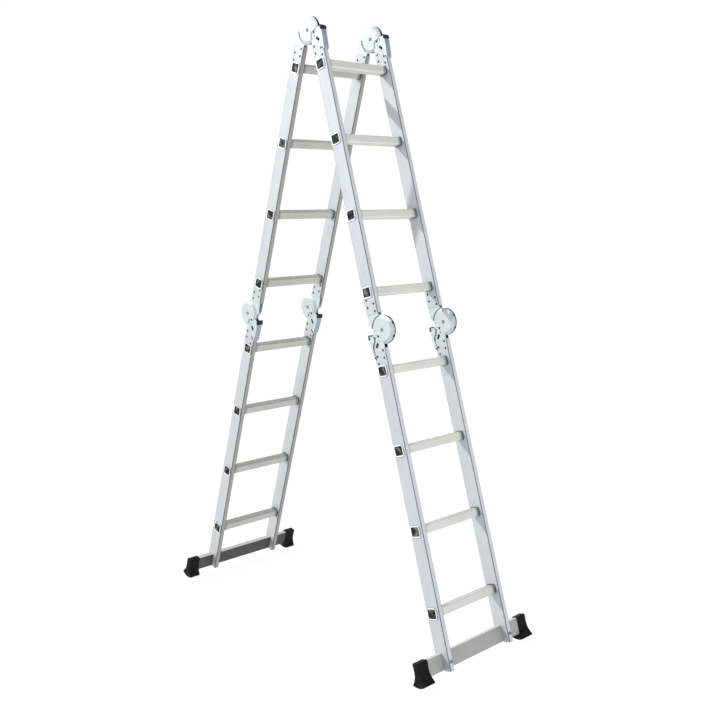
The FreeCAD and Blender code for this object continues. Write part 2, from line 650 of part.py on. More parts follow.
def notch_arm_blank():
    """The inner arm of one hinge: a hollow notched disc, a shoulder and two tang plates."""
    drum = cylinder("drum", "Dims.drum_radius", "2 * Dims.drum_half", "-Dims.drum_half")
    outline = arm_outline(NOTCH_ARM_NECK)
    outside = "(Dims.drum_shoulder + Dims.shoulder_thick)"
    thick, start = "2 * Dims.tang_half", "-Dims.tang_half"
    root = common("drum_root", [
        prism("drum_root_slab", outline, "2 * Dims.drum_half", "-Dims.drum_half"),
        cylinder("drum_root_limit", outside, "2 * Dims.drum_half", "-Dims.drum_half")])
    ring = cut("shoulder_ring", cylinder("shoulder_outside", outside, thick, start),
               cylinder("shoulder_inside", "Dims.drum_shoulder", thick, start))
    shoulder = common("shoulder", [prism("shoulder_slab", outline, thick, start), ring])
    between = bind(doc.addObject("Part::Box", "tang_between"), Length="2 * (Dims.tang_half - Dims.plate)",
                   Width="4 * Dims.disc_radius", Height="4 * Dims.disc_radius",
                   Placement__Base__x="-(Dims.tang_half - Dims.plate)",
                   Placement__Base__y="-2 * Dims.disc_radius", Placement__Base__z="-Dims.disc_radius")
    tangs = cut("tangs", prism("tang_slab", outline, thick, start), fuse("tang_tools", [
        between, cylinder("tang_limit", "Dims.drum_shoulder", thick, start)]))

    tools = rivet_holes("notch_arm", thick)
    tools.append(cylinder("notch_arm_bore", "Dims.pin_radius + Dims.pin_running", thick, start))
    tools.append(cylinder("notch_arm_cavity", "Dims.drum_cavity", "2 * (Dims.drum_half - Dims.drum_cheek)",
                          "-(Dims.drum_half - Dims.drum_cheek)"))
    for i, angle in enumerate(notch_angles()):
        tools.append(radial_box("notch_%d" % i, "Dims.notch_floor", "Dims.drum_radius + Dims.plate",
                                "(Dims.lock_wide + 2 * Dims.lock_side_gap)", "2 * Dims.drum_half", angle))
    return cut("notch_arm", fuse("notch_arm_plain", [drum, root, shoulder, tangs]),
               fuse("notch_arm_tools", tools))


def pin_blank():
    """The hinge pin: a shank with a dished head at each end, turned about x."""
    body = doc.addObject("PartDesign::Body", "hinge_pin_blank")
    half = body_sketch(body, "hinge_pin_section", "XY_Plane")
    end = "(Dims.cover_half + Dims.pin_head_thick)"
    right = [
        ("(%s - Dims.pin_dish_deep)" % end, "0"),
        ("(%s - Dims.pin_dish_deep)" % end, "Dims.pin_dish - Dims.pin_dish_deep"),
        (end, "Dims.pin_dish"), (end, "Dims.pin_head - Dims.pin_dish_deep / 2"),
        ("(%s - Dims.pin_dish_deep / 2)" % end, "Dims.pin_head"),
        ("Dims.cover_half", "Dims.pin_head"), ("Dims.cover_half", "Dims.pin_radius"),
    ]
    left = [("-" + x, y) for x, y in reversed(right)]
    add_outline(half, right + left)
    turn = body.newObject("PartDesign::Revolution", "hinge_pin_turn")
    turn.Profile = half
    turn.ReferenceAxis = (half, ["H_Axis"])
    turn.Angle = 360.0
    return body


def rivet_blank(name, radius, head, head_thick, half):
    """A rivet along x through a hinge arm and its stile, with a low head at each end."""
    pieces = [cylinder(name + "_shank", radius, "2 * (%s)" % half, "-(%s)" % half)]
    for sign, end in ((1, "right"), (-1, "left")):
        dome = bind(doc.addObject("Part::Cone", "%s_%s_head" % (name, end)),
                    Radius1=head, Radius2="0.7 * (%s)" % head, Height=head_thick)
        dome.Placement = Placement(Vector(), Rotation(Vector(0, 1, 0), 90 * sign))
        pieces.append(bind(dome, Placement__Base__x="%d * (%s)" % (sign, half)))
    return fuse(name, pieces)


def lock_blank():
    """The lock: a nose for the notches, a cross bar in both covers' slots, and a stem to pull it."""
    near, far = "Dims.lock_cross_start", "Dims.lock_cross_end"
    return fuse("lock_bar", [
        radial_box("lock_nose", "Dims.lock_rest", far, "Dims.lock_wide", "Dims.drum_half",
                   "Dims.lock_angle"),
        radial_box("lock_cross", near, far, "Dims.lock_wide", "Dims.lock_half", "Dims.lock_angle"),
        radial_box("lock_stem", near, far + " + Dims.lock_stem_long", "Dims.lock_stem_wide",
                   "Dims.lock_stem_thick / 2", "Dims.lock_angle"),
    ])


def lever_blank():
    """The release lever: a channel over the stile's narrow face, with an ear beside each cover."""
    body = doc.addObject("PartDesign::Body", "lever_blank")
    outline = body_sketch(body, "lever_outline", "YZ_Plane")
    add_outline(outline, LEVER_EARS + LEVER_BACK)
    pad(body, "lever_pad", outline, "2 * Dims.lever_half", both_ways=True)
    inside = body_sketch(body, "lever_inside", "YZ_Plane")
    face = [("%g - Dims.lever_sheet" % d, w) for d, w in LEVER_BACK[1:-1]]
    above, below = "-Dims.lever_half", "Dims.tang_end"
    add_outline(inside, [("0", below), ("0", above), (face[0][0], above)] + face + [(face[-1][0], below)])
    pocket(body, "lever_channel", inside, "2 * (Dims.lever_half - Dims.lever_sheet)")
    pivot = body_sketch(body, "lever_pivot", "YZ_Plane")
    add_circle(pivot, "Dims.pivot_d", "Dims.pivot_w", "Dims.pivot_radius + Dims.pivot_running")
    pocket(body, "lever_pivot_hole", pivot, "4 * Dims.lever_half")
    return body


def cap_blank(lever):
    """The plastic cap on the lever's free end, hooked over its back and sides."""
    return cut("lever_cap", prism("cap_block", LEVER_CAP, "2 * Dims.cap_half", "-Dims.cap_half"), lever)


def spring_blank():
    """The lever's spring: a coil round the pivot pin, inside the stile."""
    helix = bind(doc.addObject("Part::Helix", "spring_helix"), Radius="Dims.spring_coil",
                 Pitch="Dims.spring_pitch", Height="Dims.spring_pitch * Dims.spring_turns")
    wire = bind(doc.addObject("Part::Circle", "spring_wire"), Radius="Dims.spring_wire")
    wire.Placement = Placement(Vector(dim("spring_coil"), 0, 0), Rotation(Vector(1, 0, 0), 90))
    doc.recompute()
    coil = doc.addObject("Part::Sweep", "lever_spring")
    coil.Sections = [wire]
    coil.Spine = (helix, ["Edge%d" % (i + 1) for i in range(len(helix.Shape.Edges))])
    coil.Solid = True
    coil.Frenet = True
    middle = dim("spring_pitch") * dim("spring_turns") / 2
    coil.Placement = Placement(Vector(-middle, dim("pivot_d"), dim("pivot_w")), Rotation(Vector(0, 1, 0), 90))
    return coil


def hinge_parts():
    cover, notch_arm, pin = cover_blank(), notch_arm_blank(), pin_blank()
    lock, lever, spring = lock_blank(), lever_blank(), spring_blank()
    cap = cap_blank(lever)
    rivet = rivet_blank("arm_rivet", "Dims.rivet_radius", "Dims.rivet_head", "Dims.rivet_head_thick",
                        "Dims.stile_thick / 2")
    pivot = rivet_blank("pivot_rivet", "Dims.pivot_radius", "Dims.pivot_head", "Dims.pivot_head_thick",
                        "(Dims.lever_half + Dims.close_fit)")
    one_each = {"hinge_cover": cover, "lock_bar": lock, "release_lever": lever, "lever_cap": cap}
    rivets = {section: [] for section in SECTIONS}
    for hinge, (cover_section, notch_section) in HINGES.items():
        covers = {side: hinge_frame(hinge, side, "cover") for side in SIDES}
        notches = {side: hinge_frame(hinge, side, "notch") for side in SIDES}
        for side, frame in covers.items():
            for name, blank in one_each.items():
                copies("%s_%s_%s" % (hinge, side, name), [(blank, frame)])
            rivets[cover_section].append(
                (pivot, frame.multiply(Placement(Vector(0, dim("pivot_d"), dim("pivot_w")), Rotation()))))
        copies(hinge + "_notch_arms", [(notch_arm, frame) for frame in notches.values()])
        copies(hinge + "_hinge_pins", [(pin, frame) for frame in covers.values()])
        copies(hinge + "_lever_springs", [(spring, frame) for frame in covers.values()])
        for section, frames in ((cover_section, covers), (notch_section, notches)):
            rivets[section] += [(rivet, frame.multiply(Placement(Vector(0, d, w), Rotation())))
                                for frame in frames.values() for d, w in RIVET_PLACES]
    for section, placed in rivets.items():
        copies(section + "_rivets", placed)


# ---------------------------------------------------------------- stabiliser bars

def stabiliser_bar(leg, place):
    """A tube across the foot of a leg, let into slots in both stiles; its upper face is z = 0."""
    label = leg + "_stabiliser_bar"
    body = doc.addObject("PartDesign::Body", label)
    section = body_sketch(body, label + "_section", "YZ_Plane")
    middle = "Dims.bar_height / 2"
    add_outline(section, centred("Dims.bar_depth", "Dims.bar_height", "Dims.bar_corner", y=middle))
    add_outline(section, centred(
        "(Dims.bar_depth - 2 * Dims.bar_wall)", "(Dims.bar_height - 2 * Dims.bar_wall)", y=middle))
    pad(body, label + "_tube", section, "Dims.bar_length", both_ways=True)
    holes = offset_sketch(body_sketch(body, label + "_bolt_holes", "XZ_Plane"), "-Dims.bar_depth / 2")
    for sign in SIDES.values():
        add_circle(holes, "%d * (Dims.ladder_width - Dims.stile_thick) / 2" % sign, "Dims.bolt_down",
                   "Dims.bolt_radius + Dims.close_fit")
    pocket(body, label + "_bolt_pocket", holes, "4 * Dims.bar_wall")
    return node(body, label, place)


def boot_blank():
    """A rubber boot for the bar's end at +x; y = 0 is the bar's middle, z = 0 its upper face.

    The sole is round, so it rolls as the leg leans, with a flat where it stands at rest.
    """
    body = doc.addObject("PartDesign::Body", "boot_blank")
    half = "(Dims.bar_depth / 2 + Dims.boot_wall)"
    flat = "acos(1 - Dims.sole_flat_deep / Dims.sole_radius)"
    lean = "Dims.half_opening * 1 deg"

    def on_sole(angle):
        return ["-Dims.sole_radius * sin(%s)" % angle,
                "%s + Dims.sole_radius * cos(%s)" % (sole_centre(), angle)]

    profile = body_sketch(body, "boot_section", "YZ_Plane")
    add_outline(profile, [
        ("-" + half, "-Dims.boot_wall"), (half, "-Dims.boot_wall"), (half, "Dims.boot_waist"),
        ("Dims.sole_half", "Dims.boot_tip", "Dims.sole_radius"),
        on_sole("(%s - %s)" % (lean, flat)),
        on_sole("(%s + %s)" % (lean, flat)) + ["Dims.sole_radius"],
        ("-Dims.sole_half", "Dims.boot_tip"), ("-" + half, "Dims.boot_waist")])
    pad(body, "boot_pad", profile, "Dims.boot_length")
    socket = offset_sketch(body_sketch(body, "boot_socket", "YZ_Plane"),
                           "Dims.boot_length - Dims.boot_end_wall")
    add_outline(socket, centred(
        "(Dims.bar_depth + 2 * Dims.close_fit)", "(Dims.bar_height + 2 * Dims.close_fit)",
        "Dims.bar_corner", y="Dims.bar_height / 2"))
    pocket(body, "boot_socket_pocket", socket, "2 * Dims.boot_length", both_ways=False)
    return body


def bolt_blanks(leg):
    """A bolt from the stile's outer face into the bar, and its nut behind the bar's wall.

    y is t and z = 0 is the bolt's axis. Both are turned about y.
    """
    seat = "(Dims.hinge_offset + Dims.stile_depth)"
    bar_face = "(Dims.%s_bar_t + Dims.bar_depth / 2)" % leg

    def along_y(obj, start):
        obj.Placement = Placement(Vector(), Rotation(Vector(1, 0, 0), -90))
        return bind(obj, Placement__Base__y=start)

    def round_piece(name, kind, start, length, **radii):
        obj = bind(doc.addObject("Part::" + kind, "%s_%s" % (leg, name)), Height=length, **radii)
        return along_y(obj, start)

    shank = round_piece("bolt_shank", "Cylinder", bar_face + " - Dims.bolt_reach",
                        "%s - %s + Dims.bolt_reach" % (seat, bar_face), Radius="Dims.bolt_radius")
    head = round_piece("bolt_head_dome", "Cone", seat, "Dims.bolt_head_thick",
                       Radius1="Dims.bolt_head", Radius2="0.75 * Dims.bolt_head")
    socket = round_piece("bolt_socket", "Prism", seat + " + Dims.bolt_head_thick / 3", "Dims.bolt_head_thick",
                         Circumradius="Dims.bolt_socket / sqrt(3)")
    bolt = cut(leg + "_bolt", fuse(leg + "_bolt_plain", [shank, head]), socket)
    inner_face = bar_face + " - Dims.bar_wall - Dims.nut_thick"
    blank = round_piece("nut_blank", "Prism", inner_face, "Dims.nut_thick",
                        Circumradius="Dims.nut_across / sqrt(3)")
    thread = round_piece("nut_hole", "Cylinder", inner_face, "Dims.nut_thick",
                         Radius="Dims.bolt_radius + Dims.close_fit")
    return bolt, cut(leg + "_nut", blank, thread)


def stabilisers():
    boot = boot_blank()
    left_boot = doc.addObject("Part::Mirroring", "left_boot_blank")
    left_boot.Source = boot
    left_boot.Normal = Vector(1, 0, 0)
    inner = dim("bar_length") / 2 + dim("boot_end_wall") - dim("boot_length")
    for leg in LEGS:
        foot = leg_frame(leg).multiply(Placement(
            Vector(0, dim(leg + "_bar_t"), number(sheet, bar_top(leg))), Rotation()))
        stabiliser_bar(leg, foot)
        copies(leg + "_boots", [
            (boot, foot.multiply(Placement(Vector(inner, 0, 0), Rotation()))),
            (left_boot, foot.multiply(Placement(Vector(-inner, 0, 0), Rotation())))])
        bolt_and_nut = bolt_blanks(leg)
        bolts = []
        for side in SIDES:
            place = leg_frame(leg).multiply(Placement(
                Vector(stile_x(leg, side), 0, number(sheet, bar_top(leg)) + dim("bolt_down")), Rotation()))
            bolts += [(piece, place) for piece in bolt_and_nut]
        copies(leg + "_bar_bolts", bolts)


# ---------------------------------------------------------------- the whole ladder

def check_and_export():
    doc.recompute()
    for obj in doc.Objects:
        if "Invalid" in obj.State or "Error" in obj.State:
            raise RuntimeError("%s: %s" % (obj.Label, obj.State))
    os.makedirs("parts", exist_ok=True)
    for obj in nodes:
        shape = obj.Shape
        if shape.isNull() or not shape.isValid() or not shape.Solids:
            raise RuntimeError("%s has no valid solid" % obj.Label)
        shape.exportStep("parts/%s.step" % obj.Label)


fill_sheet()
for ladder_section in SECTIONS:
    for ladder_side in SIDES:
        stile(ladder_section, ladder_side)
rungs_and_plugs()
hinge_parts()
stabilisers()
check_and_export()
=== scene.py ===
import json
import math

import bmesh
import bpy
from mathutils import Matrix, Vector

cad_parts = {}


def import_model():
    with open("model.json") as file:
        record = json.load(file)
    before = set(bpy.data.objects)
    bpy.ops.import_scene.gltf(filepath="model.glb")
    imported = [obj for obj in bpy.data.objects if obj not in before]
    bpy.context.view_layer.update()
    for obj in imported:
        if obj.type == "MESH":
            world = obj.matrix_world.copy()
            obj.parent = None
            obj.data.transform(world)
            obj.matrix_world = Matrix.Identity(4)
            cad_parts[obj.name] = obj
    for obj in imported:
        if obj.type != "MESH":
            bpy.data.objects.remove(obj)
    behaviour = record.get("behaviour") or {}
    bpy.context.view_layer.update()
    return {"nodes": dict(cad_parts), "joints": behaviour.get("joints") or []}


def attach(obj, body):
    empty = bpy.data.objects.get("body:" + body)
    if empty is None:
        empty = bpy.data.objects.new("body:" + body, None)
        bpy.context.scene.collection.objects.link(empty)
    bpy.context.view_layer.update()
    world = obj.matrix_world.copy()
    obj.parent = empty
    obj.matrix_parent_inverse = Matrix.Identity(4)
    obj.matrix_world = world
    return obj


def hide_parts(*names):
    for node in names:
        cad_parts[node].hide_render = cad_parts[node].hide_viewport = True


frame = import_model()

scene = bpy.context.scene
nodes = frame["nodes"]

LEAN = math.radians(16.1)                  # of each leg from upright
AXES = {j["name"]: Vector(j["pos_m"]) for j in frame["joints"] if j["name"].endswith("_fold")}
TOP_AXIS = AXES["top_fold"]

# Metres. A leg's coordinates are x, t outward from the hinge line, and s down the leg from the top hinge.
STILE_MIDDLE = 0.1615                      # from the ladder's middle plane
BAR_MIDDLE = {"front": 0.0255, "back": 0.0385}
BAR_TOP = {leg: 2.2315 + (t - BAR_MIDDLE["front"]) * math.tan(LEAN) for leg, t in BAR_MIDDLE.items()}
BOOT_X = (0.245, 0.295)
BOOT_HALF, BOOT_ABOVE, BOOT_TIP = 0.0125, 0.0025, 0.0715
BOOT_BAND = ((0.015, 0.016), (0.029, 0.030))   # where the band's two edges start and end
BOOT_BAND_DEPTH = 0.0008
BOOT_TOP_BEVEL = 0.002
BOOT_FLARE = ((0.040, 0.0), (0.050, 0.0035), (0.062, 0.0105))   # s, and how far the side stands out
SOLE_HALF, SOLE_RADIUS, SOLE_FLAT = 0.0305, 0.054, 0.0008
SOLE_RIBS, SOLE_RIB_DEPTH = 9, 0.0016
NOTCH_ARM_RIM = 0.0500                     # radius inside which the notched disc takes its rim colour and painted shade


def leg_matrix(leg):
    """From leg coordinates (x, outward, down the leg from the top hinge) to the frame."""
    turn = Matrix.Rotation(math.pi - LEAN, 4, "X")
    if leg == "back":
        turn = Matrix.Rotation(math.pi, 4, "Z") @ turn
    return Matrix.Translation(TOP_AXIS) @ turn


# ---------------------------------------------------------------- node helpers

class Tree:
    """A material's node tree, with one line for each node."""

    def __init__(self, name):
        self.material = bpy.data.materials.new(name)
        self.material.use_nodes = True
        self.nodes = self.material.node_tree.nodes
        self.links = self.material.node_tree.links
        self.nodes.clear()
        self.shader = self.add("ShaderNodeBsdfPrincipled")
        output = self.add("ShaderNodeOutputMaterial")
        self.links.new(self.shader.outputs["BSDF"], output.inputs["Surface"])

    def add(self, kind, **settings):
        node = self.nodes.new(kind)
        for key, value in settings.items():
            setattr(node, key, value)
        return node

    def feed(self, socket, value):
        """Set a socket to a constant, or link another node's output to it."""
        if isinstance(value, bpy.types.NodeSocket):
            self.links.new(value, socket)
        elif socket.type == "RGBA":
            socket.default_value = (*value, 1)
        else:
            socket.default_value = value

    def put(self, node, **sockets):
        """Feed a node's sockets by name, with an underscore for each space."""
        for name, value in sockets.items():
            self.feed(node.inputs[name.replace("_", " ")], value)

    def split(self, coordinates):
        """The X, Y and Z of one of the texture coordinates."""
        where = self.add("ShaderNodeTexCoord")
        parts = self.add("ShaderNodeSeparateXYZ")
        self.links.new(where.outputs[coordinates], parts.inputs["Vector"])
        return parts.outputs

    def place(self, tilt, stretch):
        """Object coordinates turned about X by tilt, and scaled by stretch along each axis."""
        where = self.add("ShaderNodeTexCoord")
        turned = self.add("ShaderNodeMapping", vector_type="POINT")
        self.links.new(where.outputs["Object"], turned.inputs["Vector"])
        turned.inputs["Rotation"].default_value = (tilt, 0, 0)
        scaled = self.add("ShaderNodeMapping", vector_type="POINT")
        self.links.new(turned.outputs["Vector"], scaled.inputs["Vector"])
        scaled.inputs["Scale"].default_value = stretch
        return scaled.outputs["Vector"]

    def facing(self, axis):
        """How squarely a face looks along an axis of the object, from 0 to 1."""
        return self.math("ABSOLUTE", self.split("Normal")[axis])

    def toward(self, direction):
        """The cosine between a face's outward side and a direction of the object."""
        where = self.add("ShaderNodeTexCoord")
        node = self.add("ShaderNodeVectorMath", operation="DOT_PRODUCT")
        self.links.new(where.outputs["Normal"], node.inputs[0])
        node.inputs[1].default_value = direction
        return node.outputs["Value"]

    def from_middle(self):
        """Distance from the ladder's middle plane."""
        return self.math("ABSOLUTE", self.split("Object")["X"])

    def from_axis(self, point):
        """Distance from a line along X through a point."""
        where = self.add("ShaderNodeTexCoord")
        offset = self.add("ShaderNodeVectorMath", operation="SUBTRACT")
        self.links.new(where.outputs["Object"], offset.inputs[0])
        offset.inputs[1].default_value = point
        flat = self.add("ShaderNodeVectorMath", operation="MULTIPLY")
        self.links.new(offset.outputs["Vector"], flat.inputs[0])
        flat.inputs[1].default_value = (0, 1, 1)
        length = self.add("ShaderNodeVectorMath", operation="LENGTH")
        self.links.new(flat.outputs["Vector"], length.inputs[0])
        return length.outputs["Value"]

    def noise(self, where, scale, detail=4.0, roughness=0.55):
        node = self.add("ShaderNodeTexNoise")
        self.put(node, Vector=where, Scale=scale, Detail=detail, Roughness=roughness)
        return node.outputs["Fac"]

    def remap(self, value, low, high, to_low, to_high):
        node = self.add("ShaderNodeMapRange", clamp=True)
        self.put(node, Value=value, From_Min=low, From_Max=high, To_Min=to_low, To_Max=to_high)
        return node.outputs["Result"]

    def blend(self, factor, first, second, mode="MIX"):
        node = self.add("ShaderNodeMix", data_type="RGBA", blend_type=mode)
        self.put(node, Factor=factor)
        for name, value in (("A", first), ("B", second)):
            self.feed(next(s for s in node.inputs if s.name == name and s.type == "RGBA"), value)
        return next(s for s in node.outputs if s.type == "RGBA")

    def math(self, operation, *values):
        node = self.add("ShaderNodeMath", operation=operation)
        for socket, value in zip(node.inputs, values):
            self.feed(socket, value)
        return node.outputs["Value"]

    def bump(self, height, strength, distance):
        node = self.add("ShaderNodeBump")
        self.put(node, Height=height, Strength=strength, Distance=distance)
        self.put(self.shader, Normal=node.outputs["Normal"])

    def finish(self, **sockets):
        self.put(self.shader, **sockets)
        return self.material


# ---------------------------------------------------------------- materials

def grey(level):
    return (level, level, level)


def extruded(tree, colour, grain, tilt=0.0, along="z", metallic=0.3, rough=0.42, marks=0.5):
    """Satin aluminium: die lines along the extrusion, soft clouding, and light handling marks."""
    stretch = {"z": (1, 1, 0.006), "x": (0.006, 1, 1)}[along]
    lines = tree.noise(tree.place(tilt, stretch), grain, detail=5.0, roughness=0.65)
    clouds = tree.noise(tree.place(tilt, (1, 1, 1)), 9.0, detail=3.0)
    scuffs = tree.remap(tree.noise(tree.place(tilt + 0.35, (1.0, 1.0, 0.22)), 120.0, detail=6.0),
                        0.60, 0.74, 0.0, 1.0)
    worn = tree.math("MULTIPLY", scuffs, tree.remap(clouds, 0.45, 0.68, 0.0, marks))
    tone = tree.blend(tree.remap(lines, 0.30, 0.70, 0.55, 0.0), colour, grey(0.80), "MULTIPLY")
    tone = tree.blend(tree.remap(clouds, 0.35, 0.70, 0.0, 0.6), tone, grey(0.86), "MULTIPLY")
    tone = tree.blend(worn, tone, grey(0.70), "MULTIPLY")
    gloss = tree.math("ADD", tree.remap(lines, 0.3, 0.7, rough - 0.07, rough + 0.07),
                      tree.math("MULTIPLY", worn, 0.2))
    tree.bump(lines, 0.25, 0.0002)
    return tree.finish(Base_Color=tone, Metallic=metallic, Roughness=gloss)


def pressed(tree, colour, metallic=0.35, rough=0.36, grain=260.0, dull=0.5):
    """Plated sheet steel: a fine mottle, faint rolling lines, and duller patches from handling."""
    where = tree.place(0.0, (1, 1, 1))
    mottle = tree.noise(where, grain, detail=5.0)
    patches = tree.noise(where, 28.0, detail=4.0)
    rolled = tree.noise(tree.place(0.6, (1, 1, 0.03)), 700.0, detail=3.0)
    tone = tree.blend(tree.remap(mottle, 0.35, 0.65, 1.0, 0.0), colour, grey(0.92), "MULTIPLY")
    tone = tree.blend(tree.remap(patches, 0.50, 0.72, 0.0, dull), tone, grey(0.80), "MULTIPLY")
    gloss = tree.math("ADD", tree.remap(patches, 0.35, 0.70, rough - 0.05, rough + 0.10),
                      tree.remap(rolled, 0.35, 0.65, -0.03, 0.03))
    tree.bump(tree.math("ADD", mottle, tree.math("MULTIPLY", rolled, 0.4)), 0.18, 0.00015)
    return tree.finish(Base_Color=tone, Metallic=metallic, Roughness=gloss)


def moulded(tree, colour, rough=0.55, grain=1400.0, dusty=0.12, strength=0.3, shine=0.3):
    """Moulded rubber or plastic: a fine spark-eroded grain and a little dust."""
    where = tree.place(0.0, (1, 1, 1))
    texture = tree.noise(where, grain, detail=3.0)
    dust = tree.noise(where, 45.0, detail=6.0)
    tone = tree.blend(tree.remap(dust, 0.48, 0.78, 0.0, dusty), colour, (0.30, 0.29, 0.28))
    gloss = tree.remap(dust, 0.35, 0.70, rough - 0.06, rough + 0.12)
    tree.bump(texture, strength, 0.0002)
    return tree.finish(Base_Color=tone, Roughness=gloss, Specular_IOR_Level=shine)


def stile_material(name, tilt, wide, narrow, corner):
    """Face colours set by which way a face looks: painted light and shade that sets the wide faces apart
    from the narrow ones, and a painted shade line along each round corner.
    """
    tree = Tree(name)
    square = tree.facing("X")
    # Painted light and shade: narrow, corner and wide colours chosen by how squarely a face looks along X.
    tone = tree.blend(tree.remap(square, 0.05, 0.30, 0.0, 1.0), narrow, corner)
    tone = tree.blend(tree.remap(square, 0.90, 0.985, 0.0, 1.0), tone, wide)
    return extruded(tree, tone, 900.0, tilt=tilt)


def rung_material(name, body):
    """Cream tread and body, with painted shade beside the stiles, and a bright collar whose sides are
    painted shade.
    """
    tree = Tree(name)
    # Painted shade: blue-grey darkening along the rung where it meets each stile.
    junction_shade = tree.remap(tree.from_middle(), 0.1300, 0.1480, 0.0, 0.92)
    body = tree.blend(junction_shade, body, (0.09, 0.125, 0.165))
    outside = tree.remap(tree.from_middle(), 0.1716, 0.1722, 0.0, 1.0)
    # Painted shade: the collar's sides, which don't look along X, are near black; its face keeps its own
    # white.
    square = tree.remap(tree.facing("X"), 0.5, 0.9, 0.0, 1.0)
    collar = tree.blend(square, (0.07, 0.075, 0.08), (0.92, 0.93, 0.94))
    return extruded(tree, tree.blend(outside, body, collar), 900.0, along="x", rough=0.45)


def bar_material(name, side):
    """Mill finish, with faces that look up or down blended paler: painted light."""
    tree = Tree(name)
    # Painted light: a paler grey on faces looking up or down.
    lit_faces = tree.remap(tree.facing("Z"), 0.5, 0.9, 0.0, 1.0)
    return extruded(tree, tree.blend(lit_faces, side, (0.62, 0.62, 0.59)), 700.0, along="x", rough=0.50,
                    marks=0.9)


def hinge_material(hinge):
    """Cover plates: plated outside, and near black on the side that faces the notched disc: painted shade,
    which also darkens the gaps and holes.
    """
    tree = Tree(hinge + "_hinge")
    # Painted shade: faces beyond the stile's middle that look back toward the ladder's middle plane turn
    # near black.
    outward = tree.math("MULTIPLY", tree.split("Object")["X"], tree.split("Normal")["X"])
    beyond = tree.math("SUBTRACT", tree.from_middle(), STILE_MIDDLE)
    outside = tree.remap(tree.math("MULTIPLY", outward, beyond), -0.0004, -0.0001, 0.0, 1.0)
    return pressed(tree, tree.blend(outside, (0.03, 0.032, 0.035), HINGE_COLOURS[hinge]))


def notched_material(hinge, painted_shade_within, rim):
    """Bright tangs and rim; the disc's inside, its notches and its cheeks are near black: painted shade."""
    tree = Tree(hinge + "_notched")
    far = tree.from_axis(AXES[hinge + "_fold"])
    # Painted shade: near black inside the given radius from the hinge axis.
    tone = tree.blend(tree.remap(far, painted_shade_within, painted_shade_within + 0.0006, 0.0, 1.0), (0.02, 0.022, 0.025), rim)
    tone = tree.blend(tree.remap(far, NOTCH_ARM_RIM, NOTCH_ARM_RIM + 0.0006, 0.0, 1.0), tone,
                      HINGE_COLOURS[hinge])
    return pressed(tree, tone, rough=0.40)


def lever_material(hinge, away):
    """Pale ears; a blue-grey web and near-black faces on the side away from the web: painted shade."""
    tree = Tree(hinge + "_lever")
    # Painted shade: blue-grey on the web, near black on faces looking along the given direction.
    tone = tree.blend(tree.remap(tree.toward(away), 0.15, 0.35, 0.0, 1.0), (0.30, 0.37, 0.45), grey(0.012))
    tone = tree.blend(tree.remap(tree.facing("X"), 0.75, 0.95, 0.0, 1.0), tone, HINGE_COLOURS[hinge])
    return pressed(tree, tone, rough=0.42, dull=0.7)


# The mid hinges' covers are a little darker than the top hinge's: painted shade.
HINGE_COLOURS = {"top": (0.55, 0.60, 0.635), "front": (0.52, 0.59, 0.61), "back": (0.52, 0.59, 0.61)}
MATERIALS = {
    "front_stile": stile_material("front_stile", -LEAN, (0.50, 0.54, 0.575), (0.62, 0.67, 0.72),
                                  (0.16, 0.18, 0.20)),
    # The back leg's narrow faces and corners are darker than the front's: painted shade.
    "back_stile": stile_material("back_stile", LEAN, (0.51, 0.55, 0.575), (0.36, 0.36, 0.33),
                                 (0.12, 0.12, 0.12)),
    "front_rung": rung_material("front_rung", (0.72, 0.72, 0.675)),
    # The back leg's rungs are darker than the front's: painted shade.
    "back_rung": rung_material("back_rung", (0.52, 0.52, 0.475)),
    "front_bar": bar_material("front_bar", (0.42, 0.43, 0.415)),
    # The back bar's sides are near black: painted shade.
    "back_bar": bar_material("back_bar", (0.060, 0.064, 0.064)),
    "top_hinge": hinge_material("top"),
    "front_hinge": hinge_material("front"),
    "back_hinge": hinge_material("back"),
    # The top hinge's rim is near black as well: painted shade.
    "top_notched": notched_material("top", 0.0490, (0.02, 0.022, 0.025)),
    "front_notched": notched_material("front", 0.0474, (0.40, 0.43, 0.46)),
    "back_notched": notched_material("back", 0.0474, (0.40, 0.43, 0.46)),
    "top_lever": lever_material("top", (0, 1, 0)),
    "front_lever": lever_material("front", (0, -1, 0)),
    "back_lever": lever_material("back", (0, 1, 0)),
    "pin": pressed(Tree("pin"), (0.30, 0.31, 0.32), metallic=0.7, rough=0.34, grain=900.0),
    "rivet": pressed(Tree("rivet"), (0.035, 0.037, 0.042), metallic=0.4, rough=0.36, grain=900.0),
    "dark_steel": pressed(Tree("dark_steel"), (0.02, 0.021, 0.023), metallic=0.5, rough=0.4, grain=900.0),
    "plug": moulded(Tree("plug"), (0.006, 0.007, 0.010), rough=0.45, dusty=0.75, shine=0.15),
    "cap": moulded(Tree("cap"), (0.004, 0.004, 0.005), rough=0.42, dusty=0.05),
    "boot": moulded(Tree("boot"), (0.003, 0.003, 0.0033), rough=0.60, dusty=0.04, strength=0.45,
                    shine=0.12),
}

# The end of a node's name decides its material, after the leg's or the hinge's name where they differ.
FINISHES = (
    ("_rung_plugs", "plug"), ("_rivets", "rivet"), ("_hinge_pins", "pin"),
    ("_bar_bolts", "pin"), ("_lever_cap", "cap"), ("_lock_bar", "dark_steel"),
    ("_lever_springs", "dark_steel"), ("_boots", "boot"),
)


def finish_of(node):
    first = node.split("_")[0]
    for piece in ("_stile", "_rung"):
        if node.rstrip("s").endswith(piece):
            return ("back" if "_back_" in node else "front") + piece
    if node.endswith("_stabiliser_bar"):
        return first + "_bar"
    if node.endswith("_hinge_cover"):
        return first + "_hinge"
    if node.endswith("_notch_arms"):
        return first + "_notched"
    if node.endswith("_release_lever"):
        return first + "_lever"
    return next(finish for ending, finish in FINISHES if node.endswith(ending))


def dress(obj, material):
    obj.data.materials.clear()
    obj.data.materials.append(material)


